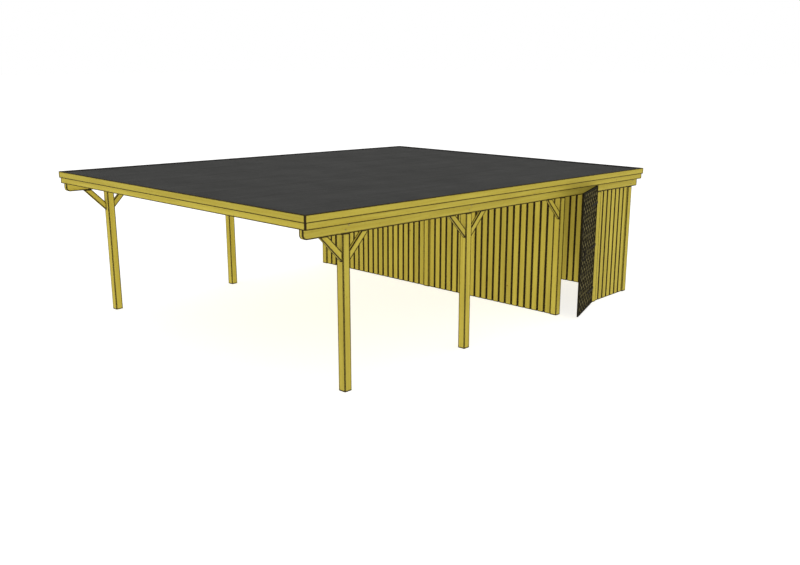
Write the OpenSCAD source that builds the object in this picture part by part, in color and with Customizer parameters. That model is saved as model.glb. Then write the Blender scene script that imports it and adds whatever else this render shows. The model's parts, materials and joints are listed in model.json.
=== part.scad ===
// Double timber carport with a flat roof and a closed shed across its rear.
// +X is the side with the shed door, +Y runs from the car bay to the shed, +Z is up.
// The origin is the centre of the foot of the post in the middle of the shed's front wall.
// All lengths are millimetres and all angles degrees.

/* [Roof] */
// Width of the roof over its upper fascias
roof_w = 6000; // [5600:50:6400]
// Depth of the roof from its front edge to its rear edge
roof_d = 8000; // [7950:10:8200]
// Fall of the whole roof towards the rear
roof_fall = 1.1; // [0.5:0.1:1.5]
// Height of the beams' underside at the roof's front edge
eaves_z = 2089; // [2070:1:2300]
// Height of the upper fascia boards
upper_fascia_h = 101; // [90:1:130]
// Height of the lower fascia boards
lower_fascia_h = 145; // [120:1:147]
// Thickness of every fascia board
fascia_t = 18; // [16:1:24]
// How far the upper fascias stand above the felt
felt_lip = 18; // [10:1:30]
// Thickness of the roof boarding
deck_t = 22; // [18:1:28]
// Thickness of the roofing felt
felt_t = 4; // [2:1:8]

/* [Rafters and beams] */
// Width of a rafter
rafter_w = 45; // [38:1:60]
// Height of a rafter
rafter_h = 125; // [110:1:150]
// Rafter spaces between the roof's front edge and the shed's front wall
car_spaces = 9; // [6:1:12]
// Rafter spaces between the shed's front and rear walls
shed_spaces = 4; // [2:1:6]
// Width of a side beam
beam_w = 66; // [50:1:80]
// Height of a side beam
beam_h = 150; // [150:1:180]
// Distance of a beam's outer face from the roof's side edge
beam_inset = 86; // [80:1:110]
// Gap between a beam's front end and the roof's front edge
beam_front_gap = 36; // [36:1:80]
// Gap between a beam's rear end and the roof's rear edge
beam_rear_gap = 50; // [36:1:80]
// Radius of the rounded lower corner at a beam's front end
beam_nose_r = 65; // [20:1:100]

/* [Posts] */
// Side of the square posts
post_w = 120; // [100:1:140]
// Chamfer along the four arrises of a post
post_chamfer = 5; // [2:1:10]
// Distance from the roof's front edge to the front posts
front_overhang = 697; // [600:1:800]
// Distance from one side post to the next
post_pitch = 2415; // [2300:5:2450]
// How far a beam stands proud of its posts
beam_proud = 20; // [5:1:30]

/* [Braces] */
// Length of a brace's longer edge along the post and along the beam
brace_leg = 360; // [300:5:450]
// Width of a brace across its grain
brace_w = 90; // [70:1:110]
// Thickness of a brace
brace_t = 45; // [35:1:50]
// How far a brace lies inside the post's outer face
brace_inset = 12; // [5:1:20]

/* [Shed] */
// Depth of the shed over its posts
shed_d = 2293; // [2250:1:2330]
// Thickness of the boarded walls
wall_t = 80; // [60:1:100]
// Clear width of the doorway in the right wall
doorway_w = 910; // [860:1:960]
// Width of the jamb beside the door post, which carries the hinges
jamb_w = 100; // [90:1:120]

/* [Door] */
// How far the door stands open
door_open = 18.5; // [0:0.5:90]
// Width of the door leaf
leaf_w = 1014; // [980:1:1060]
// Height of the door leaf
leaf_h = 2050; // [1900:5:2050]
// Gap under the door leaf
leaf_z = 30; // [15:1:30]
// Thickness of the door leaf with its lattice
leaf_t = 26; // [22:1:26]
// Gap between the closed leaf and the beam
leaf_gap = 6; // [5:1:8]
// Thickness of the ledges behind the leaf
ledge_t = 20; // [16:1:20]
// Width of a ledge
ledge_w = 95; // [80:1:110]
// Width of a diagonal behind the leaf
diagonal_w = 70; // [60:1:90]

/* [Hinges and handle] */
// Radius of a hinge pin
pin_r = 8; // [6:0.5:8]
// Running clearance between a pin and its eye
pin_clearance = 0.05; // [0.05:0.05:0.2]
// Thickness of a hinge strap
strap_t = 4; // [3:0.5:5]
// Width of a hinge strap
strap_w = 40; // [30:1:50]
// Length of a hinge strap from the pin to its point
strap_l = 460; // [300:10:600]
// Heights of the three hinges
hinge_z = [290, 1060, 1790]; // [200:1:1850]
// Height of the pull handle's middle
handle_z = 1050; // [900:10:1150]
// Length of the pull handle
handle_l = 180; // [120:5:240]

/* [Hidden] */
$fn = 48;

// Where the parts stand
right = 1;
left = -1;
half_post = post_w / 2;
roof_front_y = -(front_overhang + 2 * post_pitch + half_post);
front_post_y = roof_front_y + front_overhang + half_post;
middle_post_y = front_post_y + post_pitch;
rear_post_y = shed_d - post_w;
beam_outer_x = roof_w / 2 - beam_inset;
beam_inner_x = beam_outer_x - beam_w;
post_outer_x = beam_outer_x - beam_proud;
post_inner_x = post_outer_x - post_w;
side_post_x = post_outer_x - half_post;
wall_recess = (post_w - wall_t) / 2;

// Levels in the roof's own frame, which starts at the beams' underside
rafter_z = beam_h;
deck_z = rafter_z + rafter_h;
felt_z = deck_z + deck_t;
upper_fascia_top = felt_z + felt_t + felt_lip;

// The doorway, and the pin that the door turns on
jamb_y = half_post + doorway_w;
door_post_y = jamb_y + jamb_w;
leaf_inner_x = beam_outer_x + leaf_gap;
leaf_outer_x = leaf_inner_x + leaf_t;
eye_r = 13;
leaf_to_pin = 18;
leaf_overlap = 8;
pin_x = leaf_outer_x + strap_t - eye_r;
leaf_hinge_y = jamb_y + leaf_overlap;
pin_y = leaf_hinge_y + leaf_to_pin;
leaf_free_y = leaf_hinge_y - leaf_w;

// Larger than anything that is trimmed with it
beyond = 20000;

pine = [0.73, 0.67, 0.25];
felt_grey = [0.28, 0.28, 0.27];
dark_door = [0.26, 0.24, 0.13];
steel = [0.45, 0.46, 0.47];

// Places its children in the roof's frame: it starts at the front edge and falls to the rear
module in_roof() {
    translate([0, roof_front_y, eaves_z])
        rotate([-roof_fall, 0, 0])
            children();
}

// Cuts away what reaches above a level of the roof's frame
module under_roof(level) {
    difference() {
        children();
        in_roof()
            translate([-beyond / 2, -beyond / 2, level])
                cube([beyond, beyond, beyond]);
    }
}

// Square bar with chamfered arrises, standing on its centre
module chamfered_bar(w, d, h) {
    x = w / 2;
    y = d / 2;
    c = post_chamfer;
    linear_extrude(h)
        polygon([
            [x - c, -y], [x, -y + c], [x, y - c], [x - c, y],
            [-x + c, y], [-x, y - c], [-x, -y + c], [-x + c, -y]
        ]);
}

// Side post: its outer half is notched down to carry the beam
module side_post(side, y, d = post_w) {
    color(pine)
        difference() {
            under_roof(rafter_z)
                translate([side * side_post_x, y, 0])
                    chamfered_bar(post_w, d, beyond / 4);
            in_roof()
                translate([side > 0 ? beam_inner_x : -beyond - beam_inner_x, -beyond / 2, 0])
                    cube([beyond, beyond, beyond]);
        }
}

// Post in the middle of a shed wall, up to the rafter above it
module middle_post(y) {
    color(pine)
        under_roof(rafter_z)
            translate([0, y, 0])
                chamfered_bar(post_w, post_w, beyond / 4);
}

// Jamb and post side by side behind the doorway, up to the beam
module door_posts() {
    color(pine)
        under_roof(0)
            translate([side_post_x, 0, 0]) {
                translate([0, jamb_y + jamb_w / 2, 0])
                    chamfered_bar(post_w, jamb_w, beyond / 4);
                translate([0, door_post_y + half_post, 0])
                    chamfered_bar(post_w, post_w, beyond / 4);
            }
}

// Side beam with a rounded nose under its front end
module beam(side) {
    beam_l = roof_d - beam_front_gap - beam_rear_gap;
    r = beam_nose_r;
    color(pine)
        in_roof()
            translate([side > 0 ? beam_inner_x : -beam_outer_x, beam_front_gap, 0])
                rotate([90, 0, 90])
                    linear_extrude(beam_w)
                        difference() {
                            square([beam_l, beam_h]);
                            difference() {
                                square(r);
                                translate([r, r])
                                    circle(r);
                            }
                        }
}

// Brace at 45 degrees from a post's face up to the beam; aft braces lean to the rear
module brace(side, face_y, aft) {
    brace_x = post_outer_x - brace_inset;
    foot_z = eaves_z + (roof_front_y - face_y) * tan(roof_fall) - brace_leg;
    spare = 30;
    over = brace_leg + spare;
    band = brace_w * sqrt(2);
    color(pine)
        under_roof(0)
            translate([side > 0 ? brace_x - brace_t : -brace_x, face_y, foot_z])
                mirror([0, aft ? 0 : 1, 0])
                    rotate([90, 0, 90])
                        linear_extrude(brace_t)
                            polygon([[0, 0], [over, over], [over - band, over], [0, band]]);
}

// Rafters across both beams: one stands on each of the shed's long walls
module rafters() {
    rafter_l = roof_w - 4 * fascia_t;
    first_y = 2 * fascia_t + rafter_w / 2;
    shed_y = -roof_front_y;
    rear_wall_y = shed_y + rear_post_y;
    last_y = roof_d - first_y;
    car_step = (shed_y - first_y) / car_spaces;
    shed_step = rear_post_y / shed_spaces;
    centres = [
        for (i = [0 : car_spaces - 1]) first_y + i * car_step,
        for (i = [0 : shed_spaces]) shed_y + i * shed_step,
        last_y
    ];
    color(pine)
        in_roof()
            for (y = centres)
                translate([-rafter_l / 2, y - rafter_w / 2, rafter_z])
                    cube([rafter_l, rafter_w, rafter_h]);
}

// Sheet of the roof's build-up between the upper fascias
module roof_layer(z, thickness) {
    in_roof()
        translate([-roof_w / 2 + fascia_t, fascia_t, z])
            cube([roof_w - 2 * fascia_t, roof_d - 2 * fascia_t, thickness]);
}

module roof_boarding() {
    color(pine)
        roof_layer(deck_z, deck_t);
}

module roof_felt() {
    color(felt_grey)
        roof_layer(felt_z, felt_t);
}

// Mitred board along one edge of a rectangle that lies inset from the roof's outline
module edge_board(turn, inset, z, height) {
    along_y = turn == 90 || turn == 270;
    edge_l = (along_y ? roof_d : roof_w) - 2 * inset;
    out = (along_y ? roof_w : roof_d) / 2 - inset;
    x = edge_l / 2;
    color(pine)
        in_roof()
            translate([0, roof_d / 2, z])
                rotate([0, 0, turn])
                    linear_extrude(height)
                        polygon([
                            [-x, -out], [x, -out],
                            [x - fascia_t, -out + fascia_t], [-x + fascia_t, -out + fascia_t]
                        ]);
}

module upper_fascia(turn) {
    edge_board(turn, 0, upper_fascia_top - upper_fascia_h, upper_fascia_h);
}

module lower_fascia(turn) {
    edge_board(turn, fascia_t, deck_z - lower_fascia_h, lower_fascia_h);
}

// Boarded wall from the ground to the rafters or to the beam, between two corners
module wall(from, to, level) {
    color(pine)
        under_roof(level)
            translate([from[0], from[1], 0])
                cube([to[0] - from[0], to[1] - from[1], beyond / 4]);
}

// Half of a wall along X, between a corner post and the middle post at y
module half_wall(side, y) {
    x = side > 0 ? half_post : -post_inner_x;
    wall([x, y - wall_t / 2], [x + post_inner_x - half_post, y + wall_t / 2], rafter_z);
}

module left_wall() {
    outer_x = -post_outer_x + wall_recess;
    wall([outer_x, half_post], [outer_x + wall_t, rear_post_y - half_post], 0);
}

module right_wall() {
    outer_x = post_outer_x - wall_recess;
    wall([outer_x - wall_t, door_post_y + post_w], [outer_x, rear_post_y - half_post], 0);
}

// Turns the door's children about its pin, from closed to how far the door stands open
module hung_open() {
    translate([pin_x, pin_y, 0])
        rotate([0, 0, door_open])
            translate([-pin_x, -pin_y, 0])
                children();
}

module door_leaf() {
    color(dark_door)
        hung_open()
            translate([leaf_inner_x, leaf_free_y, leaf_z])
                cube([leaf_t, leaf_w, leaf_h]);
}

// Three ledges joined by two diagonals that rise away from the hinges
module door_ledges() {
    hinge_margin = 10;
    free_margin = 140;
    ledge_l = leaf_w - hinge_margin - free_margin;
    ledge_y = leaf_free_y + free_margin;
    bottom = hinge_z[0] - ledge_w / 2;
    middle = hinge_z[1] - ledge_w / 2;
    top = hinge_z[2] - ledge_w / 2;
    foot_y = ledge_y + ledge_l;
    head_y = ledge_y + diagonal_w;
    color(dark_door)
        hung_open()
            translate([leaf_inner_x - ledge_t, 0, 0])
                rotate([90, 0, 90])
                    linear_extrude(ledge_t)
                        union() {
                            for (z = [bottom, middle, top])
                                translate([ledge_y, z])
                                    square([ledge_l, ledge_w]);
                            for (low = [bottom, middle]) {
                                high = low == bottom ? middle : top;
                                polygon([
                                    [foot_y - diagonal_w, low + ledge_w / 2],
                                    [foot_y, low + ledge_w / 2],
                                    [head_y, high + ledge_w / 2],
                                    [head_y - diagonal_w, high + ledge_w / 2]
                                ]);
                            }
                        }
}

// Straps across the leaf's outer face, each with an eye around its pin
module door_straps() {
    point = 30;
    tip_y = pin_y - strap_l;
    color(dark_door)
        hung_open()
            for (z = hinge_z)
                translate([0, 0, z])
                    difference() {
                        union() {
                            translate([leaf_outer_x, 0, 0])
                                rotate([90, 0, 90])
                                    linear_extrude(strap_t)
                                        polygon([
                                            [pin_y, -strap_w / 2], [pin_y, strap_w / 2],
                                            [tip_y + point, strap_w / 4], [tip_y, 0],
                                            [tip_y + point, -strap_w / 4]
                                        ]);
                            translate([pin_x, pin_y, -strap_w / 2])
                                cylinder(r = eye_r, h = strap_w);
                        }
                        translate([pin_x, pin_y, -strap_w])
                            cylinder(r = pin_r + pin_clearance, h = 2 * strap_w);
                    }
}

// Pintles: a plate on the jamb, an arm out from it, and the upright pin
module hinge_pintles() {
    plate_t = 5;
    plate_w = 70;
    plate_h = 110;
    arm_h = 14;
    arm_w = 2 * eye_r - 4;
    arm_gap = 0.5;
    pin_over = 6;
    arm_z = -strap_w / 2 - arm_gap - arm_h;
    color(steel)
        for (z = hinge_z)
            translate([0, 0, z]) {
                translate([post_outer_x, pin_y - arm_w / 2, arm_z + arm_h / 2 - plate_h / 2])
                    cube([plate_t, plate_w, plate_h]);
                translate([post_outer_x + plate_t / 2, pin_y - arm_w / 2, arm_z])
                    cube([pin_x - post_outer_x - plate_t / 2, arm_w, arm_h]);
                translate([pin_x, pin_y, arm_z])
                    cylinder(r = arm_w / 2, h = arm_h);
                translate([pin_x, pin_y, arm_z])
                    cylinder(r = pin_r, h = arm_h + arm_gap + strap_w + pin_over);
            }
}

// Upright pull handle near the free edge: a round bar on two stand-offs with round plates
module door_handle() {
    bar_r = 8;
    plate_r = 18;
    plate_t = 3;
    stand_off = 42;
    edge = 85;
    foot = handle_l / 2 - 20;
    color(dark_door)
        hung_open()
            translate([leaf_outer_x, leaf_free_y + edge, handle_z]) {
                translate([stand_off, 0, -handle_l / 2])
                    cylinder(r = bar_r, h = handle_l);
                for (z = [-foot, foot])
                    translate([0, 0, z])
                        rotate([0, 90, 0]) {
                            cylinder(r = bar_r - 2, h = stand_off);
                            cylinder(r = plate_r, h = plate_t);
                        }
            }
}

side_post(right, front_post_y);  // post_front_right
side_post(left, front_post_y);  // post_front_left
side_post(right, middle_post_y);  // post_middle_right
side_post(left, middle_post_y);  // post_middle_left
side_post(right, 0);  // shed_post_front_right
side_post(left, 0);  // shed_post_front_left
middle_post(0);  // shed_post_front_middle
side_post(right, rear_post_y);  // shed_post_rear_right
side_post(left, rear_post_y);  // shed_post_rear_left
middle_post(rear_post_y);  // shed_post_rear_middle
door_posts();
beam(right);  // beam_right
beam(left);  // beam_left
brace(right, front_post_y - half_post, false);  // brace_front_right_fore
brace(right, front_post_y + half_post, true);  // brace_front_right_aft
brace(right, middle_post_y - half_post, false);  // brace_middle_right_fore
brace(right, middle_post_y + half_post, true);  // brace_middle_right_aft
brace(right, -half_post, false);  // brace_shed_right
brace(left, front_post_y - half_post, false);  // brace_front_left_fore
brace(left, front_post_y + half_post, true);  // brace_front_left_aft
brace(left, middle_post_y - half_post, false);  // brace_middle_left_fore
brace(left, middle_post_y + half_post, true);  // brace_middle_left_aft
brace(left, -half_post, false);  // brace_shed_left
rafters();
roof_boarding();
roof_felt();
lower_fascia(0);  // lower_fascia_front
lower_fascia(180);  // lower_fascia_rear
lower_fascia(90);  // lower_fascia_right
lower_fascia(270);  // lower_fascia_left
upper_fascia(0);  // upper_fascia_front
upper_fascia(180);  // upper_fascia_rear
upper_fascia(90);  // upper_fascia_right
upper_fascia(270);  // upper_fascia_left
half_wall(left, 0);  // front_wall_left
half_wall(right, 0);  // front_wall_right
half_wall(left, rear_post_y);  // rear_wall_left
half_wall(right, rear_post_y);  // rear_wall_right
left_wall();
right_wall();
door_leaf();
door_ledges();
door_straps();
hinge_pintles();
door_handle();
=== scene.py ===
import json
import math

import bpy
from mathutils import Matrix, Vector


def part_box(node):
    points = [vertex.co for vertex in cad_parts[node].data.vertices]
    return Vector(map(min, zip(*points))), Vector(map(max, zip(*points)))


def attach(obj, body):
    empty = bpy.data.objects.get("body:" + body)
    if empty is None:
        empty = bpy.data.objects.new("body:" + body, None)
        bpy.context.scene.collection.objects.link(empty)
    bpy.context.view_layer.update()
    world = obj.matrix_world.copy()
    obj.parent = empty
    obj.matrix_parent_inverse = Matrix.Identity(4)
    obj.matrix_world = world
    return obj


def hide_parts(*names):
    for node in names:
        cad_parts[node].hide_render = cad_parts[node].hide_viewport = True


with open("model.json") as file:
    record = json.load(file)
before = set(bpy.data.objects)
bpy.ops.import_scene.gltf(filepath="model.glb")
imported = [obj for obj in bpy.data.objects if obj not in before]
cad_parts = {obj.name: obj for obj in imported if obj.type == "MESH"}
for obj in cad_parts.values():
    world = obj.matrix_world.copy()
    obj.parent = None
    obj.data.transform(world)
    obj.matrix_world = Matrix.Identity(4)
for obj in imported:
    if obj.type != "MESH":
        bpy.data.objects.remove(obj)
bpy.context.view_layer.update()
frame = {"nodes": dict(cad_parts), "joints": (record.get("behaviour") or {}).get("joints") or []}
timber = frame["nodes"]

# POSTS
# Eleven square posts and a jamb of pressure-treated pine, yellow-green from the salts. They are
# planed on four sides with chamfered arrises. The side posts are notched for the beams.


def add_node(tree, kind, at, **settings):
    """A shader node at a place in its tree, with its settings and its unlinked inputs."""
    made = tree.nodes.new(kind)
    made.location = (at[0] * 190, at[1] * -190)
    for name, value in settings.items():
        if name.startswith("in_"):
            key = name[3:]
            made.inputs[int(key) if key.isdigit() else key.replace("_", " ")].default_value = value
        else:
            setattr(made, name, value)
    return made


def remap(tree, at, value, span, onto, **settings):
    """Maps a socket's value from one span onto another."""
    made = add_node(tree, "ShaderNodeMapRange", at, in_1=span[0], in_2=span[1],
                    in_3=onto[0], in_4=onto[1], **settings)
    tree.links.new(value, made.inputs["Value"])
    return made.outputs["Result"]


def stretched(tree, at, place, by):
    """Stretches a pattern's place by a factor along each axis."""
    made = add_node(tree, "ShaderNodeVectorMath", at, operation="MULTIPLY", in_1=by)
    tree.links.new(place, made.inputs[0])
    return made.outputs[0]


def shader_group(name, inputs, outputs):
    """An empty node group with the named sockets, and its two end nodes."""
    group = bpy.data.node_groups.new(name, "ShaderNodeTree")
    for socket, kind in inputs.items():
        group.interface.new_socket(name=socket, in_out="INPUT", socket_type="NodeSocket" + kind)
    for socket, kind in outputs.items():
        group.interface.new_socket(name=socket, in_out="OUTPUT", socket_type="NodeSocket" + kind)
    return group, group.nodes.new("NodeGroupInput"), group.nodes.new("NodeGroupOutput")


# Sawn softwood whose grain runs along Z: growth rings that flow around knots, fine fibres, long
# streaks, and a tone of its own for every board.
wood, wood_in, wood_out = shader_group(
    "sawn_softwood",
    {"Grain": "Vector", "Board": "Float", "Early": "Color", "Late": "Color", "Knot": "Color"},
    {"Colour": "Color", "Roughness": "Float", "Height": "Float"},
)
link = wood.links.new

# The grain sways slowly along a board, and every board is cut from its own place in the wood.
sway_reach = Vector((0.05, 0.05, 0.2))
board_apart = (7.31, 3.17, 5.73)
drift = add_node(wood, "ShaderNodeTexNoise", (1, 0), noise_dimensions="4D",
                 in_Scale=1.4, in_Detail=2.0)
link(wood_in.outputs["Grain"], drift.inputs["Vector"])
link(wood_in.outputs["Board"], drift.inputs["W"])
sway = add_node(wood, "ShaderNodeVectorMath", (2, 0), operation="MULTIPLY_ADD",
                in_1=sway_reach, in_2=-sway_reach / 2)
link(drift.outputs["Color"], sway.inputs[0])
bent = add_node(wood, "ShaderNodeVectorMath", (3, 0), operation="ADD")
link(wood_in.outputs["Grain"], bent.inputs[0])
link(sway.outputs[0], bent.inputs[1])
own_place = add_node(wood, "ShaderNodeVectorMath", (3, 1), operation="MULTIPLY_ADD",
                     in_1=board_apart)
link(wood_in.outputs["Board"], own_place.inputs[0])
link(bent.outputs[0], own_place.inputs[2])

# Knots: a dark core with a soft rim, and rings that bulge round it.
knot_cell = (5.5, 5.5, 1.7)
knot_rim = (0.009, 0.019)
bulge_r = 0.07
bulge = 0.035
cells = stretched(wood, (4, 2), own_place.outputs[0], knot_cell)
knots = add_node(wood, "ShaderNodeTexVoronoi", (5, 2), in_Scale=1.0)
link(cells, knots.inputs["Vector"])
from_knot = add_node(wood, "ShaderNodeVectorMath", (6, 2), operation="SUBTRACT")
link(knots.outputs["Position"], from_knot.inputs[0])
link(cells, from_knot.inputs[1])
in_metres = add_node(wood, "ShaderNodeVectorMath", (7, 2), operation="DIVIDE", in_1=knot_cell)
link(from_knot.outputs[0], in_metres.inputs[0])
knot_distance = add_node(wood, "ShaderNodeVectorMath", (8, 2), operation="LENGTH")
link(in_metres.outputs[0], knot_distance.inputs[0])
knot_core = remap(wood, (9, 2), knot_distance.outputs["Value"], knot_rim, (1, 0))
flow = remap(wood, (9, 3), knot_distance.outputs["Value"], (0, bulge_r), (bulge, 0),
             interpolation_type="SMOOTHSTEP")

# Growth rings: sharp on their late side, stretched along the board.
ring_slant = 0.7
ring_stretch = 0.12
rings_per_m = 32.0
parts = add_node(wood, "ShaderNodeSeparateXYZ", (5, 0))
link(own_place.outputs[0], parts.inputs[0])
across = add_node(wood, "ShaderNodeMath", (6, 0), operation="MULTIPLY_ADD", in_1=ring_slant)
link(parts.outputs["Y"], across.inputs[0])
link(parts.outputs["X"], across.inputs[2])
around = add_node(wood, "ShaderNodeMath", (7, 0), operation="ADD")
link(across.outputs[0], around.inputs[0])
link(flow, around.inputs[1])
slow_along = add_node(wood, "ShaderNodeMath", (6, 1), operation="MULTIPLY", in_1=ring_stretch)
link(parts.outputs["Z"], slow_along.inputs[0])
ring_place = add_node(wood, "ShaderNodeCombineXYZ", (8, 0))
link(around.outputs[0], ring_place.inputs["X"])
link(parts.outputs["Y"], ring_place.inputs["Y"])
link(slow_along.outputs[0], ring_place.inputs["Z"])
rings = add_node(wood, "ShaderNodeTexWave", (9, 0), wave_profile="SAW", in_Scale=rings_per_m,
                 in_Distortion=5.0, in_Detail=2.0, in_Detail_Scale=0.5)
link(ring_place.outputs[0], rings.inputs["Vector"])

# Fine fibres, broad streaks, and a tone for each board.
fibres_per_m = (420, 420, 14)
streaks_per_m = (24, 24, 1.1)
fibre_place = stretched(wood, (5, 4), own_place.outputs[0], fibres_per_m)
fibres = add_node(wood, "ShaderNodeTexNoise", (6, 4), in_Scale=1.0, in_Detail=2.0)
link(fibre_place, fibres.inputs["Vector"])
streak_place = stretched(wood, (5, 5), own_place.outputs[0], streaks_per_m)
streaks = add_node(wood, "ShaderNodeTexNoise", (6, 5), in_Scale=1.0, in_Detail=3.0)
link(streak_place, streaks.inputs["Vector"])
own_tone = add_node(wood, "ShaderNodeTexWhiteNoise", (6, 6), noise_dimensions="1D")
link(wood_in.outputs["Board"], own_tone.inputs["W"])

# How dark the wood is: rings, streaks and fibres each add their share.
noise_span = (0.3, 0.7)
ring_share = 0.42
streak_share = (-0.1, 0.5)
fibre_share = (-0.12, 0.12)
lateness = add_node(wood, "ShaderNodeMath", (10, 0), operation="MULTIPLY_ADD", in_1=ring_share)
link(rings.outputs["Fac"], lateness.inputs[0])
streak_part = remap(wood, (8, 5), streaks.outputs["Fac"], noise_span, streak_share)
link(streak_part, lateness.inputs[2])
fibre_part = remap(wood, (8, 4), fibres.outputs["Fac"], noise_span, fibre_share)
darkness = add_node(wood, "ShaderNodeMath", (11, 0), operation="ADD", use_clamp=True)
link(lateness.outputs[0], darkness.inputs[0])
link(fibre_part, darkness.inputs[1])
grain_colour = add_node(wood, "ShaderNodeMix", (12, 0), data_type="RGBA")
link(darkness.outputs[0], grain_colour.inputs["Factor"])
link(wood_in.outputs["Early"], grain_colour.inputs["A"])
link(wood_in.outputs["Late"], grain_colour.inputs["B"])
board_tones = (0.91, 1.05)
tone = remap(wood, (8, 6), own_tone.outputs["Value"], (0, 1), board_tones)
toned = add_node(wood, "ShaderNodeVectorMath", (13, 0), operation="SCALE")
link(grain_colour.outputs["Result"], toned.inputs[0])
link(tone, toned.inputs["Scale"])
with_knots = add_node(wood, "ShaderNodeMix", (14, 0), data_type="RGBA")
link(knot_core, with_knots.inputs["Factor"])
link(toned.outputs[0], with_knots.inputs["A"])
link(wood_in.outputs["Knot"], with_knots.inputs["B"])
link(with_knots.outputs["Result"], wood_out.inputs["Colour"])

wood_dullness = (0.62, 0.82)
ring_relief = 0.6
dullness = remap(wood, (12, 3), fibres.outputs["Fac"], (0, 1), wood_dullness)
link(dullness, wood_out.inputs["Roughness"])
relief = add_node(wood, "ShaderNodeMath", (12, 4), operation="MULTIPLY_ADD", in_1=ring_relief)
link(rings.outputs["Fac"], relief.inputs[0])
link(fibres.outputs["Fac"], relief.inputs[2])
link(relief.outputs[0], wood_out.inputs["Height"])

# Arrises and board edges darken unevenly: painted shade at edges and in the joints between boards.
shade_breaks_per_m = 26.0
shade_break_share = 0.16
edge_shade_span = (0.9, 1.08)
edge_shade_group, edge_shade_in, edge_shade_out = shader_group(
    "painted_edge_shade", {"Width": "Float"}, {"Mask": "Float"})
link = edge_shade_group.links.new
edge_shade_ao = add_node(edge_shade_group, "ShaderNodeAmbientOcclusion", (1, 0), inside=True,
                     only_local=True, samples=6)
link(edge_shade_in.outputs["Width"], edge_shade_ao.inputs["Distance"])
shade_breaks_place = add_node(edge_shade_group, "ShaderNodeTexCoord", (0, 1))
shade_breaks = add_node(edge_shade_group, "ShaderNodeTexNoise", (1, 1), in_Scale=shade_breaks_per_m, in_Detail=3.0)
link(shade_breaks_place.outputs["Object"], shade_breaks.inputs["Vector"])
uneven_edge_shade = add_node(edge_shade_group, "ShaderNodeMath", (2, 0), operation="MULTIPLY_ADD", in_1=shade_break_share)
link(shade_breaks.outputs["Fac"], uneven_edge_shade.inputs[0])
link(edge_shade_ao.outputs["AO"], uneven_edge_shade.inputs[2])
edge_shade_mask = remap(edge_shade_group, (3, 0), uneven_edge_shade.outputs[0], edge_shade_span, (1, 0),
               interpolation_type="SMOOTHSTEP")
link(edge_shade_mask, edge_shade_out.inputs["Mask"])

pine_colours = {
    "Early": (0.475, 0.393, 0.06, 1),
    "Late": (0.345, 0.263, 0.029, 1),
    "Knot": (0.2, 0.12, 0.016, 1),
}
# Colour and width of the painted shade along arrises and board edges.
pine_arris_shade = (0.022, 0.014, 0.0015, 1)
pine_arris_shade_w = 0.016
pine_gloss = 0.12
grain_depth = 0.0006
upright = (0, 0, 0)


def wood_material(name, colours, turn=upright, board=None, grain=None, arris_shade=pine_arris_shade,
                  arris_shade_w=pine_arris_shade_w, gloss=pine_gloss):
    """Wood whose grain runs along Z after the turn. Every face has its board's number in an
    attribute, unless one number is given for the whole piece."""
    made = bpy.data.materials.new(name)
    made.use_nodes = True
    tree = made.node_tree
    skin = tree.nodes["Principled BSDF"]
    skin.inputs["Specular IOR Level"].default_value = gloss
    look = add_node(tree, "ShaderNodeGroup", (-3, 0), node_tree=wood)
    for socket, colour in colours.items():
        look.inputs[socket].default_value = colour
    if grain:
        along = add_node(tree, "ShaderNodeAttribute", (-5, 0), attribute_name=grain)
        tree.links.new(along.outputs["Vector"], look.inputs["Grain"])
    else:
        place = add_node(tree, "ShaderNodeTexCoord", (-5, 0))
        along = add_node(tree, "ShaderNodeMapping", (-4, 0), in_Rotation=turn)
        tree.links.new(place.outputs["Object"], along.inputs["Vector"])
        tree.links.new(along.outputs["Vector"], look.inputs["Grain"])
    if board is None:
        number = add_node(tree, "ShaderNodeAttribute", (-4, 1), attribute_name="board")
        tree.links.new(number.outputs["Fac"], look.inputs["Board"])
    else:
        look.inputs["Board"].default_value = board
    bump = add_node(tree, "ShaderNodeBump", (-2, 1), in_Strength=0.6, in_Distance=grain_depth)
    tree.links.new(look.outputs["Height"], bump.inputs["Height"])
    # Painted shade: the colour is mixed towards the shade colour along arrises and board edges.
    edges = add_node(tree, "ShaderNodeGroup", (-3, 2), node_tree=edge_shade_group, in_Width=arris_shade_w)
    with_arris_shade = add_node(tree, "ShaderNodeMix", (-1, 0), data_type="RGBA")
    with_arris_shade.inputs["B"].default_value = arris_shade
    tree.links.new(edges.outputs["Mask"], with_arris_shade.inputs["Factor"])
    tree.links.new(look.outputs["Colour"], with_arris_shade.inputs["A"])
    tree.links.new(with_arris_shade.outputs["Result"], skin.inputs["Base Color"])
    tree.links.new(look.outputs["Roughness"], skin.inputs["Roughness"])
    tree.links.new(bump.outputs["Normal"], skin.inputs["Normal"])
    return made


def finish_node(name, material):
    """Gives a CAD node its finish."""
    timber[name].data.materials.clear()
    timber[name].data.materials.append(material)


post_names = [name for name in timber if "post" in name]
post_number_step = 0.37
# Width of the painted shade along the arrises of the posts and beams.
post_arris_shade_w = 0.023
for number, name in enumerate(sorted(post_names)):
    finish_node(name, wood_material("pine_" + name, pine_colours,
                                    board=number * post_number_step, arris_shade_w=post_arris_shade_w))

# SIDE BEAMS
# A planed beam along each side lies in its posts' notches, with a rounded nose in front. Each
# post holds it with two coach bolts, whose nuts show inside.
along_y = (math.radians(90), 0, 0)
for name, number in (("beam_right", 20), ("beam_left", 20.41)):
    finish_node(name, wood_material("pine_" + name, pine_colours, along_y, board=number,
                                    arris_shade_w=post_arris_shade_w))

post_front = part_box("post_front_right")
post_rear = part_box("shed_post_rear_right")
fall = math.atan2(post_front[1].z - post_rear[1].z, post_rear[0].y - post_front[0].y)


def start_piece(name):
    """Names the primitive that was just added, and puts its place and size in its mesh."""
    piece = bpy.context.object
    piece.name = name
    bpy.ops.object.transform_apply(location=True, rotation=True, scale=True)
    return piece


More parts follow.
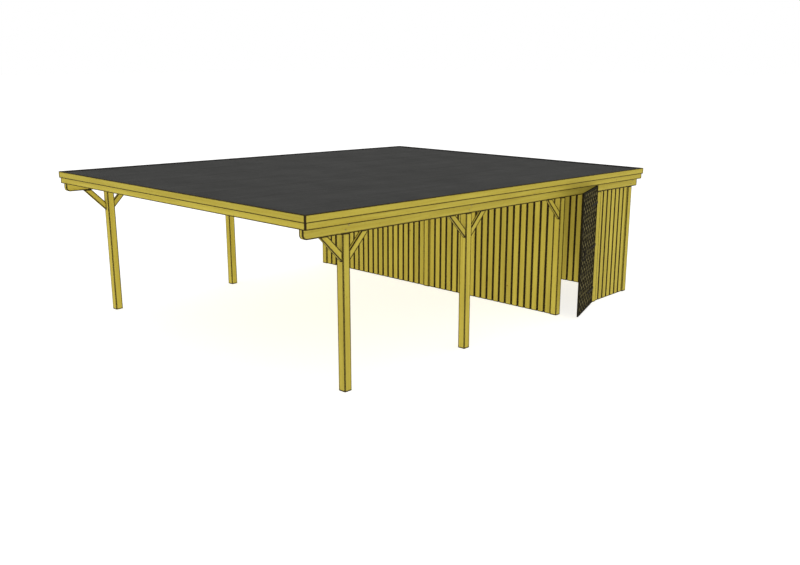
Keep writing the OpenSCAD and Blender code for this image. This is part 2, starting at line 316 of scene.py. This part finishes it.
def select_edges(piece, wanted):
    """Leaves the piece in edit mode with only the edges selected whose two ends are wanted."""
    bpy.ops.object.mode_set(mode="EDIT")
    bpy.ops.mesh.select_mode(type="EDGE")
    bpy.ops.mesh.select_all(action="DESELECT")
    bpy.ops.object.mode_set(mode="OBJECT")
    for edge in piece.data.edges:
        edge.select = wanted(*(piece.data.vertices[i].co for i in edge.vertices))
    bpy.ops.object.mode_set(mode="EDIT")


def repeat(piece, count, step):
    """Copies a piece in a straight row, as one mesh."""
    row = piece.modifiers.new("row", "ARRAY")
    row.count = count
    row.use_relative_offset = False
    row.use_constant_offset = True
    row.constant_offset_displace = step
    bpy.ops.object.modifier_apply(modifier=row.name)


def join(pieces, name):
    """Joins pieces into one."""
    bpy.ops.object.select_all(action="DESELECT")
    for piece in pieces:
        piece.select_set(True)
    bpy.context.view_layer.objects.active = pieces[0]
    bpy.ops.object.join()
    pieces[0].name = name
    return pieces[0]


round_sides = 12
rim_share = 0.6


def domed_head(name, place, facing, radius, rise, sides=round_sides):
    """A round fastener head with a domed rim, its back on a face at the given place."""
    bpy.ops.object.select_all(action="DESELECT")
    turn = Vector(facing).to_track_quat("Z", "Y").to_euler()
    bpy.ops.mesh.primitive_cylinder_add(vertices=sides, radius=radius, depth=rise,
                                        location=Vector(place) + Vector(facing) * rise / 2,
                                        rotation=turn)
    head = start_piece(name)
    top = (Vector(place) + Vector(facing) * rise).dot(Vector(facing))
    select_edges(head, lambda a, b: min(a.dot(facing), b.dot(facing)) > top - 1e-5)
    bpy.ops.mesh.bevel(offset=rise * rim_share, segments=2)
    bpy.ops.object.mode_set(mode="OBJECT")
    return head


def mottled(name, pattern, output, scale, tones, dullness, gloss=0.5, **settings):
    """A material whose tone and dullness vary over one pattern."""
    made = bpy.data.materials.new(name)
    made.use_nodes = True
    tree = made.node_tree
    skin = tree.nodes["Principled BSDF"]
    skin.inputs["Specular IOR Level"].default_value = gloss
    place = add_node(tree, "ShaderNodeTexCoord", (-5, 0), name="place")
    spots = add_node(tree, "ShaderNodeTex" + pattern, (-4, 0), name="pattern", in_Scale=scale,
                     **settings)
    tone = add_node(tree, "ShaderNodeValToRGB", (-3, 0), name="tone")
    for element, colour in zip(tone.color_ramp.elements, tones):
        element.color = (*colour, 1)
    tree.links.new(place.outputs["Object"], spots.inputs["Vector"])
    tree.links.new(spots.outputs[output], tone.inputs["Fac"])
    tree.links.new(tone.outputs["Color"], skin.inputs["Base Color"])
    dull = remap(tree, (-3, 1), spots.outputs[output], (0, 1), dullness)
    tree.links.new(dull, skin.inputs["Roughness"])
    return made


steel = mottled("zinc_plated_steel", "Voronoi", "Color", scale=260.0,
                tones=((0.24, 0.19, 0.06), (0.42, 0.35, 0.13)), dullness=(0.38, 0.6))
steel.node_tree.nodes["Principled BSDF"].inputs["Metallic"].default_value = 0.8


def roof_slab(name):
    """Where a flat part of the sloping roof starts in front, its length, and its thickness."""
    low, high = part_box(name)
    deep, tall = high.y - low.y, high.z - low.z
    thickness = tall * math.cos(fall) - deep * math.sin(fall)
    length = deep * math.cos(fall) - tall * math.sin(fall)
    return Vector((low.x, low.y, high.z - thickness * math.cos(fall))), length, thickness


beam_h = roof_slab("beam_right")[2]
bolt_r = 0.013
bolt_rise = 0.006
nut_r = 0.012
nut_rise = 0.01
nut_sides = 6
bolt_spots = ((-0.025, 0.045), (0.025, 0.105))
under_door = "shed_post_front_right"
beam_bolts = []
for side, hand in ((1, "right"), (-1, "left")):
    beam_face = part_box("beam_" + hand)[side > 0].x
    for name in (n for n in post_names if n.endswith(hand)):
        low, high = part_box(name)
        tongue_face = (low if side > 0 else high).x
        for along, above in bolt_spots:
            y = (low.y + high.y) / 2 + along
            z = high.z - beam_h + above
            if name != under_door:
                beam_bolts.append(domed_head("bolt", (beam_face, y, z), (side, 0, 0),
                                             bolt_r, bolt_rise))
            beam_bolts.append(domed_head("nut", (tongue_face, y, z), (-side, 0, 0),
                                         nut_r, nut_rise, nut_sides))
bolts = join(beam_bolts, "beam_bolts")
bolts.data.materials.append(steel)
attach(bolts, "carport")

# KNEE BRACES
# Short planed struts at 45 degrees stiffen each side post against the beam. Each is held by
# screws through its lower edge, two at the head and two at the foot.
screw_r = 0.006
screw_rise = 0.002
screw_sides = 10
screw_in = 0.05
screws_across = (0.3, 0.7)
brace_number, brace_number_step = 30, 0.29
# Width of the painted shade along the braces' arrises.
brace_arris_shade_w = 0.02
brace_screws = []
for number, name in enumerate(sorted(n for n in timber if n.startswith("brace"))):
    aft = name.endswith("aft")
    lean = 45 if aft else -45
    finish_node(name, wood_material("pine_" + name, pine_colours, (math.radians(lean), 0, 0),
                                    board=brace_number + number * brace_number_step,
                                    arris_shade_w=brace_arris_shade_w))
    low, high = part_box(name)
    run = high.z - low.z
    facing = Vector((0, 1 if aft else -1, -1)).normalized()
    foot_y = low.y if aft else high.y
    for share in (screw_in / run, 1 - screw_in / run):
        for across_share in screws_across:
            spot = (low.x + (high.x - low.x) * across_share,
                    foot_y + facing.y * math.sqrt(2) * share * run, low.z + share * run)
            brace_screws.append(domed_head("screw", spot, facing, screw_r, screw_rise,
                                           screw_sides))
screws = join(brace_screws, "brace_screws")
screws.data.materials.append(steel)
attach(screws, "carport")

# RAFTERS
# Planed joists lie across both beams from fascia to fascia, nearer together over the shed. One
# stands on each long wall of the shed.
along_x = (0, math.radians(-90), 0)
rafter_number = 41
finish_node("rafters", wood_material("pine_rafters", pine_colours, along_x, board=rafter_number))

# ROOF BOARDING
# Tongued and grooved boards run from front to back over the rafters, with V-joints that show
# from below. Each run is two lengths, which meet over a rafter.


def start_box(name, low, high):
    """A box between two corners, alone selected, to be shaped further."""
    bpy.ops.object.select_all(action="DESELECT")
    bpy.ops.mesh.primitive_cube_add(size=1, location=(Vector(low) + Vector(high)) / 2,
                                    scale=Vector(high) - Vector(low))
    return start_piece(name)


def bevel_along(piece, axis, width, segments=2, wanted=lambda middle: True):
    """Rounds the edges that run along an axis."""
    select_edges(piece, lambda a, b: abs((b - a)[axis]) > 0.9 * (b - a).length
                 and wanted((a + b) / 2))
    bpy.ops.mesh.bevel(offset=width, segments=segments)
    bpy.ops.object.mode_set(mode="OBJECT")


board_number_step = 1.37


def number_boards(piece, faces_each, first):
    """Gives every face the number of its board, so that each board has a grain of its own."""
    numbers = piece.data.attributes.new("board", "FLOAT", "FACE")
    for face in piece.data.polygons:
        numbers.data[face.index].value = first + face.index // faces_each * board_number_step


def slice_off(piece, point, facing):
    """Cuts off what lies beyond a plane, and closes the cut."""
    bpy.context.view_layer.objects.active = piece
    bpy.ops.object.mode_set(mode="EDIT")
    bpy.ops.mesh.select_all(action="SELECT")
    bpy.ops.mesh.bisect(plane_co=point, plane_no=facing, use_fill=True, clear_outer=True)
    bpy.ops.object.mode_set(mode="OBJECT")


def lay_on_roof(piece, start):
    """Tips a piece that was made level, with its front edge at y 0, to the roof's fall."""
    piece.location = start
    piece.rotation_euler = (-fall, 0, 0)
    bpy.ops.object.select_all(action="DESELECT")
    piece.select_set(True)
    bpy.context.view_layer.objects.active = piece
    bpy.ops.object.transform_apply(location=True, rotation=True, scale=True)


boards_start, boards_l, boards_t = roof_slab("roof_boarding")
boards_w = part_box("roof_boarding")[1].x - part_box("roof_boarding")[0].x
rafters_over_cars = 9
first_rafter_y = 0.0585
wall_rafter_y = (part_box("front_wall_left")[0].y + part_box("front_wall_left")[1].y) / 2
roof_front_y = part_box("upper_fascia_front")[0].y
rafter_step = (wall_rafter_y - roof_front_y - first_rafter_y) / rafters_over_cars
fascia_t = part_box("upper_fascia_left")[1].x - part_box("upper_fascia_left")[0].x
runs = 48
run_w = boards_w / runs
board_gap = 0.0005
v_joint = 0.004
joint_rafters = (5, 8)
first_roof_board = 60
lengths = []
for run, over_rafter in enumerate(joint_rafters):
    joint_y = first_rafter_y + over_rafter * rafter_step - fascia_t
    for near, far in ((0, joint_y - board_gap), (joint_y + board_gap, boards_l)):
        board = start_box("board", (run * run_w + board_gap, near, 0),
                          ((run + 1) * run_w - board_gap, far, boards_t))
        bevel_along(board, 1, v_joint, 1, lambda middle: middle.z < boards_t / 2)
        lengths.append(board)
roof_boards = join(lengths, "roof_boards")
faces_each = len(roof_boards.data.polygons) // len(lengths)
repeat(roof_boards, runs // 2, (2 * run_w, 0, 0))
number_boards(roof_boards, faces_each, first_roof_board)
lay_on_roof(roof_boards, boards_start)
roof_boards.data.materials.append(wood_material("pine_roof_boards", pine_colours, along_y))
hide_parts("roof_boarding")
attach(roof_boards, "carport")

# ROOFING FELT
# Sheets of dark grey mineral felt run from front to back, lapped and stuck with bitumen, which
# shows as a thin black bead. At the fascias the felt turns up over a flat batten, and this
# upstand's near-black colour is painted shade along the inner side of the fascias.
felt_start, felt_l, felt_t = roof_slab("roof_felt")
felt_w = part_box("roof_felt")[1].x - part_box("roof_felt")[0].x
sheets = 7
sheet_step = felt_w / sheets
lap = 0.09
lap_slope = 0.02
lap_round = felt_t * 0.3
lap_edge = -sheet_step
sheet = start_box("felt_sheets", (lap_edge, 0, 0), (lap, felt_l, felt_t))
for x in (lap_edge + lap, lap_edge + lap + lap_slope):
    select_edges(sheet, lambda a, b: True)
    bpy.ops.mesh.bisect(plane_co=(x, 0, 0), plane_no=(1, 0, 0))
    bpy.ops.object.mode_set(mode="OBJECT")
select_edges(sheet, lambda a, b: max(a.x, b.x) < lap_edge + lap + lap_slope / 2)
bpy.ops.transform.translate(value=(0, 0, felt_t))
bpy.ops.object.mode_set(mode="OBJECT")
bevel_along(sheet, 1, lap_round, 2, lambda middle: middle.x < lap_edge + lap / 2)
repeat(sheet, sheets + 1, (sheet_step, 0, 0))
slice_off(sheet, (0, 0, 0), (-1, 0, 0))
slice_off(sheet, (felt_w, 0, 0), (1, 0, 0))
lay_on_roof(sheet, felt_start)

# Mineral granules, with faint lines from the roller and broad uneven patches.
granule_depth = 0.0008
roller_lines_per_m = (16, 0.5, 16)
patches_per_m = 1.6
shade_span = (0.7, 1.3)
shades = (0.85, 1.15)
felt = mottled("mineral_felt", "Voronoi", "Color", scale=520.0,
               tones=((0.026, 0.027, 0.028), (0.085, 0.084, 0.078)), dullness=(0.78, 0.95),
               gloss=0.1)
felt_tree = felt.node_tree
felt_link = felt_tree.links.new
felt_skin = felt_tree.nodes["Principled BSDF"]
felt_place = felt_tree.nodes["place"].outputs["Object"]
granules = felt_tree.nodes["pattern"]
rolled = stretched(felt_tree, (-7, 1), felt_place, roller_lines_per_m)
roller_lines = add_node(felt_tree, "ShaderNodeTexNoise", (-6, 1), in_Scale=1.0, in_Detail=3.0)
felt_link(rolled, roller_lines.inputs["Vector"])
patches = add_node(felt_tree, "ShaderNodeTexNoise", (-6, 2), in_Scale=patches_per_m,
                   in_Detail=4.0)
felt_link(felt_place, patches.inputs["Vector"])
unevenness = add_node(felt_tree, "ShaderNodeMath", (-5, 2), operation="ADD")
felt_link(roller_lines.outputs["Fac"], unevenness.inputs[0])
felt_link(patches.outputs["Fac"], unevenness.inputs[1])
shade = remap(felt_tree, (-4, 2), unevenness.outputs[0], shade_span, shades)
felt_colour = add_node(felt_tree, "ShaderNodeVectorMath", (-2, 0), operation="SCALE")
felt_link(felt_tree.nodes["tone"].outputs["Color"], felt_colour.inputs[0])
felt_link(shade, felt_colour.inputs["Scale"])
felt_link(felt_colour.outputs[0], felt_skin.inputs["Base Color"])
felt_bump = add_node(felt_tree, "ShaderNodeBump", (-2, 2), in_Strength=0.7,
                     in_Distance=granule_depth)
felt_link(granules.outputs["Distance"], felt_bump.inputs["Height"])
felt_link(felt_bump.outputs["Normal"], felt_skin.inputs["Normal"])
sheet.data.materials.append(felt)
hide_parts("roof_felt")
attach(sheet, "carport")

bead_w = 0.009
bead_t = 0.003
bead_round = bead_t * 0.6
bead = start_box("felt_beads", (sheet_step - bead_w, 0, felt_t),
                 (sheet_step, felt_l, felt_t + bead_t))
bevel_along(bead, 1, bead_round, 2,
            lambda middle: middle.z > felt_t + bead_t / 2 and middle.x < sheet_step - bead_w / 2)
repeat(bead, sheets - 1, (sheet_step, 0, 0))
lay_on_roof(bead, felt_start)
# Black bitumen for the beads. On the felt upstand the same black is painted shade.
bitumen_and_shade = mottled("bitumen_and_shade", "Noise", "Fac", scale=90.0,
                  tones=((0.008, 0.008, 0.008), (0.022, 0.021, 0.02)), dullness=(0.5, 0.8),
                  gloss=0.2, in_Detail=2.0)
bead.data.materials.append(bitumen_and_shade)
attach(bead, "carport")

# The felt upstand, coloured with the black bitumen: painted shade along the fascias' inner side.
upstand_w = 0.045
upstand_h = 0.015
upstand_round = 0.003
upstands = []
for near, far, axis in (((0, 0), (felt_w, upstand_w), 0),
                        ((0, felt_l - upstand_w), (felt_w, felt_l), 0),
                        ((0, upstand_w), (upstand_w, felt_l - upstand_w), 1),
                        ((felt_w - upstand_w, upstand_w), (felt_w, felt_l - upstand_w), 1)):
    upstand = start_box("upstand", (*near, felt_t), (*far, felt_t + upstand_h))
    bevel_along(upstand, axis, upstand_round, 2,
                lambda middle: middle.z > felt_t + upstand_h / 2)
    upstands.append(upstand)
upstand = join(upstands, "felt_upstand_shade")
lay_on_roof(upstand, felt_start)
upstand.data.materials.append(bitumen_and_shade)
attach(upstand, "carport")

# FASCIAS
# Two courses of planed board round the roof, mitred at the corners. The upper course overlaps
# the lower one and stands a little above the felt. Both are nailed to the rafters.
fascia_number, fascia_number_step = 50, 0.53
# Width of the painted shade along the fascias' edges and between their courses.
fascia_arris_shade_w = 0.0172
for number, name in enumerate(sorted(n for n in timber if "fascia" in n)):
    turn = along_y if name.endswith(("right", "left")) else along_x
    finish_node(name, wood_material("pine_" + name, pine_colours, turn,
                                    board=fascia_number + number * fascia_number_step,
                                    arris_shade_w=fascia_arris_shade_w))

nail_r = 0.0045
nail_rise = 0.0015
flush_rise = 0.0003
nail_sides = 8
side_nails = 13
end_nails = 10
end_nail_in = 0.1
nailed_courses = (("upper", (0.025, 0.075), flush_rise), ("lower", (0.02, 0.065), nail_rise))
fascia_nails = []
for course, heights, rise in nailed_courses:
    for side, hand in ((1, "right"), (-1, "left")):
        start, length = roof_slab(course + "_fascia_" + hand)[:2]
        face_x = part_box(course + "_fascia_" + hand)[side > 0].x
        for above in heights:
            row = domed_head("nails", (face_x, first_rafter_y, above), (side, 0, 0),
                             nail_r, rise, nail_sides)
            repeat(row, side_nails, (0, (length - 2 * first_rafter_y) / (side_nails - 1), 0))
            lay_on_roof(row, (0, start.y, start.z))
            fascia_nails.append(row)
    for end, facing in (("front", -1), ("rear", 1)):
        low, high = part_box(course + "_fascia_" + end)
        lean = math.tan(fall)
        for above in heights:
            row = domed_head("nails", (low.x + end_nail_in, 0, 0), (0, facing, 0),
                             nail_r, rise, nail_sides)
            repeat(row, end_nails, ((high.x - low.x - 2 * end_nail_in) / (end_nails - 1), 0, 0))
            base_y = low.y if facing < 0 else high.y - (high.z - low.z) * lean
            lay_on_roof(row, (0, base_y + above * lean, low.z + above))
            fascia_nails.append(row)
nails = join(fascia_nails, "fascia_nails")
nails.data.materials.append(steel)
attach(nails, "carport")

# SHED WALLS
# Upright planed boards stand a finger's width apart on both faces of a batten frame. A near-black
# sheet fills the wall behind each skin: painted shade, which shows as dark lines between the
# boards.
wall_board_t = 0.02
wall_joint = 0.02
wall_edge = 0.0025
nail_in = 0.025
nail_heights = (0.12, 0.75, 1.38, 1.9)
narrow_board = 0.106
# Width of the painted shade along the wall boards' edges and in their joints.
wall_arris_shade_w = 0.0185
# The numbers of the first board, and how far apart they are from wall to wall, skin and row.
wall_number, wall_apart, skin_apart, row_apart = 100, 50, 23, 7
# For each wall its rows of boards: how far along the wall a row starts, and how many it has.
wall_rows = {
    "front_wall_left": [(0, 20)], "front_wall_right": [(0, 20)],
    "rear_wall_left": [(0, 20)], "rear_wall_right": [(0, 20)],
    "left_wall": [(0, 15)], "right_wall": [(0, 1), (narrow_board, 6)],
}

# Near-black sheet behind the boards: its colour is painted shade in the joints.
joint_shade_sheet = mottled("windproof_cloth", "Noise", "Fac", scale=300.0,
                tones=((0.006, 0.005, 0.003), (0.02, 0.016, 0.008)), dullness=(0.85, 1.0),
                gloss=0.1, in_Detail=2.0)
square_to_roof = (0, math.sin(fall), math.cos(fall))
wall_wood = wood_material("pine_wall_boards", pine_colours, arris_shade_w=wall_arris_shade_w)
wall_nails = []
for number, (name, rows) in enumerate(wall_rows.items()):
    low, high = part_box(name)
    run = 0 if high.x - low.x > high.y - low.y else 1
    skins = []
    row_ends = [start for start, count in rows[1:]] + [high[run] - low[run]]
    for row_number, ((row_start, count), row_end) in enumerate(zip(rows, row_ends)):
        step = (row_end - row_start) / count
        move = Vector((step, 0, 0)) if run == 0 else Vector((0, step, 0))
        for outward in (-1, 1):
            near, far = low.copy(), high.copy()
            near[run] = low[run] + row_start + wall_joint / 2
            far[run] = low[run] + row_start + step - wall_joint / 2
            if outward < 0:
                far[1 - run] = low[1 - run] + wall_board_t
            else:
                near[1 - run] = high[1 - run] - wall_board_t
            skin = start_box("skin", near, far)
            bevel_along(skin, 2, wall_edge)
            faces_each = len(skin.data.polygons)
            repeat(skin, count, move)
            number_boards(skin, faces_each, wall_number + number * wall_apart
                          + outward * skin_apart + row_number * row_apart)
            skins.append(skin)
            face = Vector((0, 0, 0))
            face[1 - run] = outward
            spot = near.copy()
            spot[1 - run] = (low if outward < 0 else high)[1 - run]
            for z in nail_heights:
                for across in (nail_in, far[run] - near[run] - nail_in):
                    spot[run] = near[run] + across
                    spot.z = z
                    row = domed_head("nails", spot, face, nail_r, nail_rise, nail_sides)
                    repeat(row, count, move)
                    wall_nails.append(row)
    boards = join(skins, name + "_boards")
    slice_off(boards, (0, low.y, high.z), square_to_roof)
    boards.data.materials.append(wall_wood)
    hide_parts(name)
    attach(boards, "carport")

    # The near-black sheet that paints shade into the joints fills the wall between the skins.
    near, far = low.copy(), high.copy()
    near[1 - run] += wall_board_t
    far[1 - run] -= wall_board_t
    joint_shade_lining = start_box(name + "_cloth", near, far)
    bevel_along(joint_shade_lining, 2, wall_edge)
    slice_off(joint_shade_lining, (0, low.y, high.z), square_to_roof)
    joint_shade_lining.data.materials.append(joint_shade_sheet)
    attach(joint_shade_lining, "carport")
nails = join(wall_nails, "wall_nails")
nails.data.materials.append(steel)
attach(nails, "carport")

# SHED DOOR
# A leaf of close upright boards carries a diamond lattice of thin crossing laths in a rim of
# the same laths. All of it is stained dark olive-brown. Ledges and diagonals brace its back.
door_joint = next(j for j in frame["joints"] if j["name"] == "door_hinge")
hinge_pin = Vector(door_joint["pos_m"])
stands_open = -math.radians(door_joint["range_deg"][0])
closed_to_open = (Matrix.Translation(hinge_pin) @ Matrix.Rotation(stands_open, 4, "Z")
                  @ Matrix.Translation(-hinge_pin))


def hang(piece, name):
    """Swings a piece that was made on the closed door to where the door stands."""
    piece.name = name
    piece.matrix_world = closed_to_open
    bpy.ops.object.select_all(action="DESELECT")
    piece.select_set(True)
    bpy.context.view_layer.objects.active = piece
    bpy.ops.object.transform_apply(location=True, rotation=True, scale=True)
    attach(piece, "door")


leaf_corners = [closed_to_open.inverted() @ v.co for v in timber["door_leaf"].data.vertices]
leaf_low = Vector([min(p[axis] for p in leaf_corners) for axis in range(3)])
leaf_high = Vector([max(p[axis] for p in leaf_corners) for axis in range(3)])
lath_t = 0.004
leaf_board_t = leaf_high.x - leaf_low.x - 2 * lath_t
leaf_boards = 8
leaf_step = (leaf_high.y - leaf_low.y) / leaf_boards
leaf_gap = 0.0007
leaf_edge = 0.003
first_leaf_board, first_lath, layer_apart, first_rim, ledge_number = 300, 400, 60, 520, 530
board = start_box("leaf_board", (leaf_low.x, leaf_low.y + leaf_gap, leaf_low.z),
                  (leaf_low.x + leaf_board_t, leaf_low.y + leaf_step - leaf_gap, leaf_high.z))
bevel_along(board, 2, leaf_edge, 1)
faces_each = len(board.data.polygons)
repeat(board, leaf_boards, (0, leaf_step, 0))
number_boards(board, faces_each, first_leaf_board)
hang(board, "door_boards")
panel_colours = {
    "Early": (0.2, 0.172, 0.07, 1),
    "Late": (0.13, 0.108, 0.04, 1),
    "Knot": (0.04, 0.03, 0.012, 1),
}
stain_gloss = 0.03
# Colour of the painted shade along the edges of the door's parts.
stain_arris_shade = (0.008, 0.006, 0.002, 1)
board.data.materials.append(wood_material("stained_boards", panel_colours, arris_shade=stain_arris_shade,
                                          gloss=stain_gloss))
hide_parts("door_leaf")

lath_colours = {
    "Early": (0.019, 0.015, 0.004, 1),
    "Late": (0.008, 0.006, 0.0015, 1),
    "Knot": (0.005, 0.004, 0.001, 1),
}
lath_w = 0.03
lath_edge = 0.001
lath_step = 0.14
# Width of the painted shade along the laths' edges.
lath_arris_shade_w = 0.003
rim_w = 0.04
rim_edge = 0.0015
# Width of the painted shade along the rim's edges.
rim_arris_shade_w = 0.006
lath_wood = wood_material("stained_laths", lath_colours, grain="along_lath", arris_shade=stain_arris_shade,
                          arris_shade_w=lath_arris_shade_w, gloss=stain_gloss)
lattice_x = leaf_low.x + leaf_board_t
diagonal_l = (leaf_high.z - leaf_low.z) * math.sqrt(2) + 2 * lath_w
middle_z = (leaf_low.z + leaf_high.z) / 2
reach = (leaf_high.z - leaf_low.z) / 2
laths_needed = math.ceil((leaf_high.y - leaf_low.y + 2 * reach) / lath_step) + 1
layers = []
for layer, lean in enumerate((45, -45)):
    lath = start_box("lath", (0, -lath_w / 2, -diagonal_l / 2),
                     (lath_t, lath_w / 2, diagonal_l / 2))
    bevel_along(lath, 2, lath_edge, 1, lambda middle: middle.x > lath_t / 2)
    faces_each = len(lath.data.polygons)
    along = lath.data.attributes.new("along_lath", "FLOAT_VECTOR", "POINT")
    for vertex in lath.data.vertices:
        along.data[vertex.index].vector = vertex.co
    lath.rotation_euler = (math.radians(lean), 0, 0)
    lath.location = (lattice_x + layer * lath_t, leaf_low.y - reach, middle_z)
    bpy.ops.object.transform_apply(location=True, rotation=True, scale=True)
    repeat(lath, laths_needed, (0, lath_step, 0))
    number_boards(lath, faces_each, first_lath + layer * layer_apart)
    layers.append(lath)
lattice = join(layers, "lattice")
for axis, limit, outward in ((1, leaf_low.y + rim_w, -1), (1, leaf_high.y - rim_w, 1),
                             (2, leaf_low.z + rim_w, -1), (2, leaf_high.z - rim_w, 1)):
    cut_at, facing = Vector((0, 0, 0)), Vector((0, 0, 0))
    cut_at[axis] = limit
    facing[axis] = outward
    slice_off(lattice, cut_at, facing)
lattice.data.materials.append(lath_wood)
hang(lattice, "door_lattice")

rim_wood = wood_material("stained_rim", lath_colours, arris_shade=stain_arris_shade, arris_shade_w=rim_arris_shade_w,
                         gloss=stain_gloss)
rim = []
for near, far in (((leaf_low.y, leaf_low.z), (leaf_low.y + rim_w, leaf_high.z)),
                  ((leaf_high.y - rim_w, leaf_low.z), (leaf_high.y, leaf_high.z)),
                  ((leaf_low.y + rim_w, leaf_low.z), (leaf_high.y - rim_w, leaf_low.z + rim_w)),
                  ((leaf_low.y + rim_w, leaf_high.z - rim_w), (leaf_high.y - rim_w, leaf_high.z))):
    strip = start_box("rim", (lattice_x, *near), (lattice_x + 2 * lath_t, *far))
    bevel_along(strip, 2 if far[1] - near[1] > far[0] - near[0] else 1, rim_edge)
    rim.append(strip)
faces_each = len(rim[0].data.polygons)
rim = join(rim, "rim")
number_boards(rim, faces_each, first_rim)
rim.data.materials.append(rim_wood)
hang(rim, "door_rim")

hammer_depth = 0.0005
iron = mottled("black_iron", "Noise", "Fac", scale=120.0,
               tones=((0.012, 0.011, 0.009), (0.022, 0.02, 0.015)), dullness=(0.5, 0.75),
               gloss=0.05, in_Detail=3.0)
iron_tree = iron.node_tree
iron_bump = add_node(iron_tree, "ShaderNodeBump", (-2, 2), in_Strength=0.3,
                     in_Distance=hammer_depth)
iron_tree.links.new(iron_tree.nodes["pattern"].outputs["Fac"], iron_bump.inputs["Height"])
iron_tree.links.new(iron_bump.outputs["Normal"],
                    iron_tree.nodes["Principled BSDF"].inputs["Normal"])

# A nail holds every crossing of the laths.
lath_nail_r = 0.003
lath_nail_rise = 0.001
rows_high = int((leaf_high.z - leaf_low.z) / lath_step)
lath_nails = []
for row in range(-rows_high, rows_high + 1):
    z = middle_z + row * lath_step / 2
    first = leaf_low.y - reach + row % 2 * lath_step / 2
    first += math.ceil((leaf_low.y + rim_w - first) / lath_step) * lath_step
    count = int((leaf_high.y - rim_w - first) / lath_step) + 1
    if leaf_low.z + rim_w < z < leaf_high.z - rim_w:
        nail = domed_head("nails", (leaf_high.x, first, z), (1, 0, 0),
                          lath_nail_r, lath_nail_rise, nail_sides)
        repeat(nail, count, (0, lath_step, 0))
        lath_nails.append(nail)
lath_nails = join(lath_nails, "lath_nails")
lath_nails.data.materials.append(iron)
hang(lath_nails, "lath_nails")

finish_node("door_ledges", wood_material("stained_ledges", panel_colours, along_y,
                                         board=ledge_number, arris_shade=stain_arris_shade,
                                         gloss=stain_gloss))

# HINGES AND HANDLE
# Three strap hinges with eyes turn on upright pins, whose zinc-plated plates are screwed to the
# jamb. The straps, carriage bolted to the leaf, and the pull handle are painted black.
finish_node("door_straps", iron)
finish_node("door_handle", iron)
finish_node("hinge_pintles", steel)

strap_t = 0.004
strap_bolt_r = 0.009
strap_bolt_rise = 0.004
strap_bolts_at = (0.1, 0.24, 0.38)
hinge_heights = (0.29, 1.06, 1.79)
heads = []
for z in hinge_heights:
    for back in strap_bolts_at:
        heads.append(domed_head("bolt", (leaf_high.x + strap_t, hinge_pin.y - back, z),
                                (1, 0, 0), strap_bolt_r, strap_bolt_rise))
strap_bolts = join(heads, "strap_bolts")
strap_bolts.data.materials.append(iron)
hang(strap_bolts, "strap_bolts")

plate_low, plate_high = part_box("hinge_pintles")
plate_t = 0.005
plate_below_hinge = 0.0275
plate_screws_in = (0.012, 0.035)
plate_screws_up = (-0.04, 0.04)
plate_screw_r = 0.005
plate_screw_rise = 0.0015
plate_screws = []
for z in hinge_heights:
    for inward in plate_screws_in:
        for up in plate_screws_up:
            spot = (plate_low.x + plate_t, plate_high.y - inward, z - plate_below_hinge + up)
            plate_screws.append(domed_head("screw", spot, (1, 0, 0), plate_screw_r,
                                           plate_screw_rise, screw_sides))
plate_screws = join(plate_screws, "pintle_screws")
plate_screws.data.materials.append(steel)
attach(plate_screws, "carport")

# FLOOR, LIGHT AND CAMERA
# A plain pale floor that glows a little, soft light from all round, and a sun over the camera's
# shoulder that casts no shadow, so that it reaches under the roof.
scene = bpy.context.scene
world = bpy.data.worlds.new("sky")
scene.world = world
world.use_nodes = True
sky = world.node_tree
soft_sky = sky.nodes["Background"]
soft_sky.inputs["Color"].default_value = (1, 1, 1, 1)
soft_sky.inputs["Strength"].default_value = 0.5
white_sky = add_node(sky, "ShaderNodeBackground", (0, 1), in_Color=(1, 1, 1, 1),
                     in_Strength=1.0)
seen = add_node(sky, "ShaderNodeLightPath", (0, 2))
sky_mix = add_node(sky, "ShaderNodeMixShader", (1, 0))
sky.links.new(seen.outputs["Is Camera Ray"], sky_mix.inputs[0])
sky.links.new(soft_sky.outputs[0], sky_mix.inputs[1])
sky.links.new(white_sky.outputs[0], sky_mix.inputs[2])
sky.links.new(sky_mix.outputs[0], sky.nodes["World Output"].inputs["Surface"])

floor_w = 400
floor_z = -0.001
bpy.ops.mesh.primitive_plane_add(size=floor_w, location=(0, 0, floor_z))
floor = start_piece("floor")
floor_paint = bpy.data.materials.new("floor_paint")
floor_paint.use_nodes = True
floor_skin = floor_paint.node_tree.nodes["Principled BSDF"]
floor_skin.inputs["Base Color"].default_value = (0.85, 0.85, 0.85, 1)
floor_skin.inputs["Specular IOR Level"].default_value = 0.0
floor_skin.inputs["Emission Color"].default_value = (1, 1, 1, 1)
floor_skin.inputs["Emission Strength"].default_value = 0.5
floor.data.materials.append(floor_paint)

bpy.ops.object.light_add(type="SUN", rotation=(math.radians(60), 0, math.radians(43)))
sun = bpy.context.object
sun.data.energy = 2.0
sun.data.angle = math.radians(20)
sun.data.use_shadow = False

camera_at = (10.7612, -12.244, 4.1771)
camera_down = 14.1915
camera_turn = 43.1769
bpy.ops.object.camera_add(location=camera_at,
                          rotation=(math.radians(90 - camera_down), 0, math.radians(camera_turn)))
camera = bpy.context.object
camera.data.sensor_width = 36
camera.data.lens = 40.05
camera.data.clip_end = 600
scene.camera = camera
scene.view_settings.view_transform = "Standard"
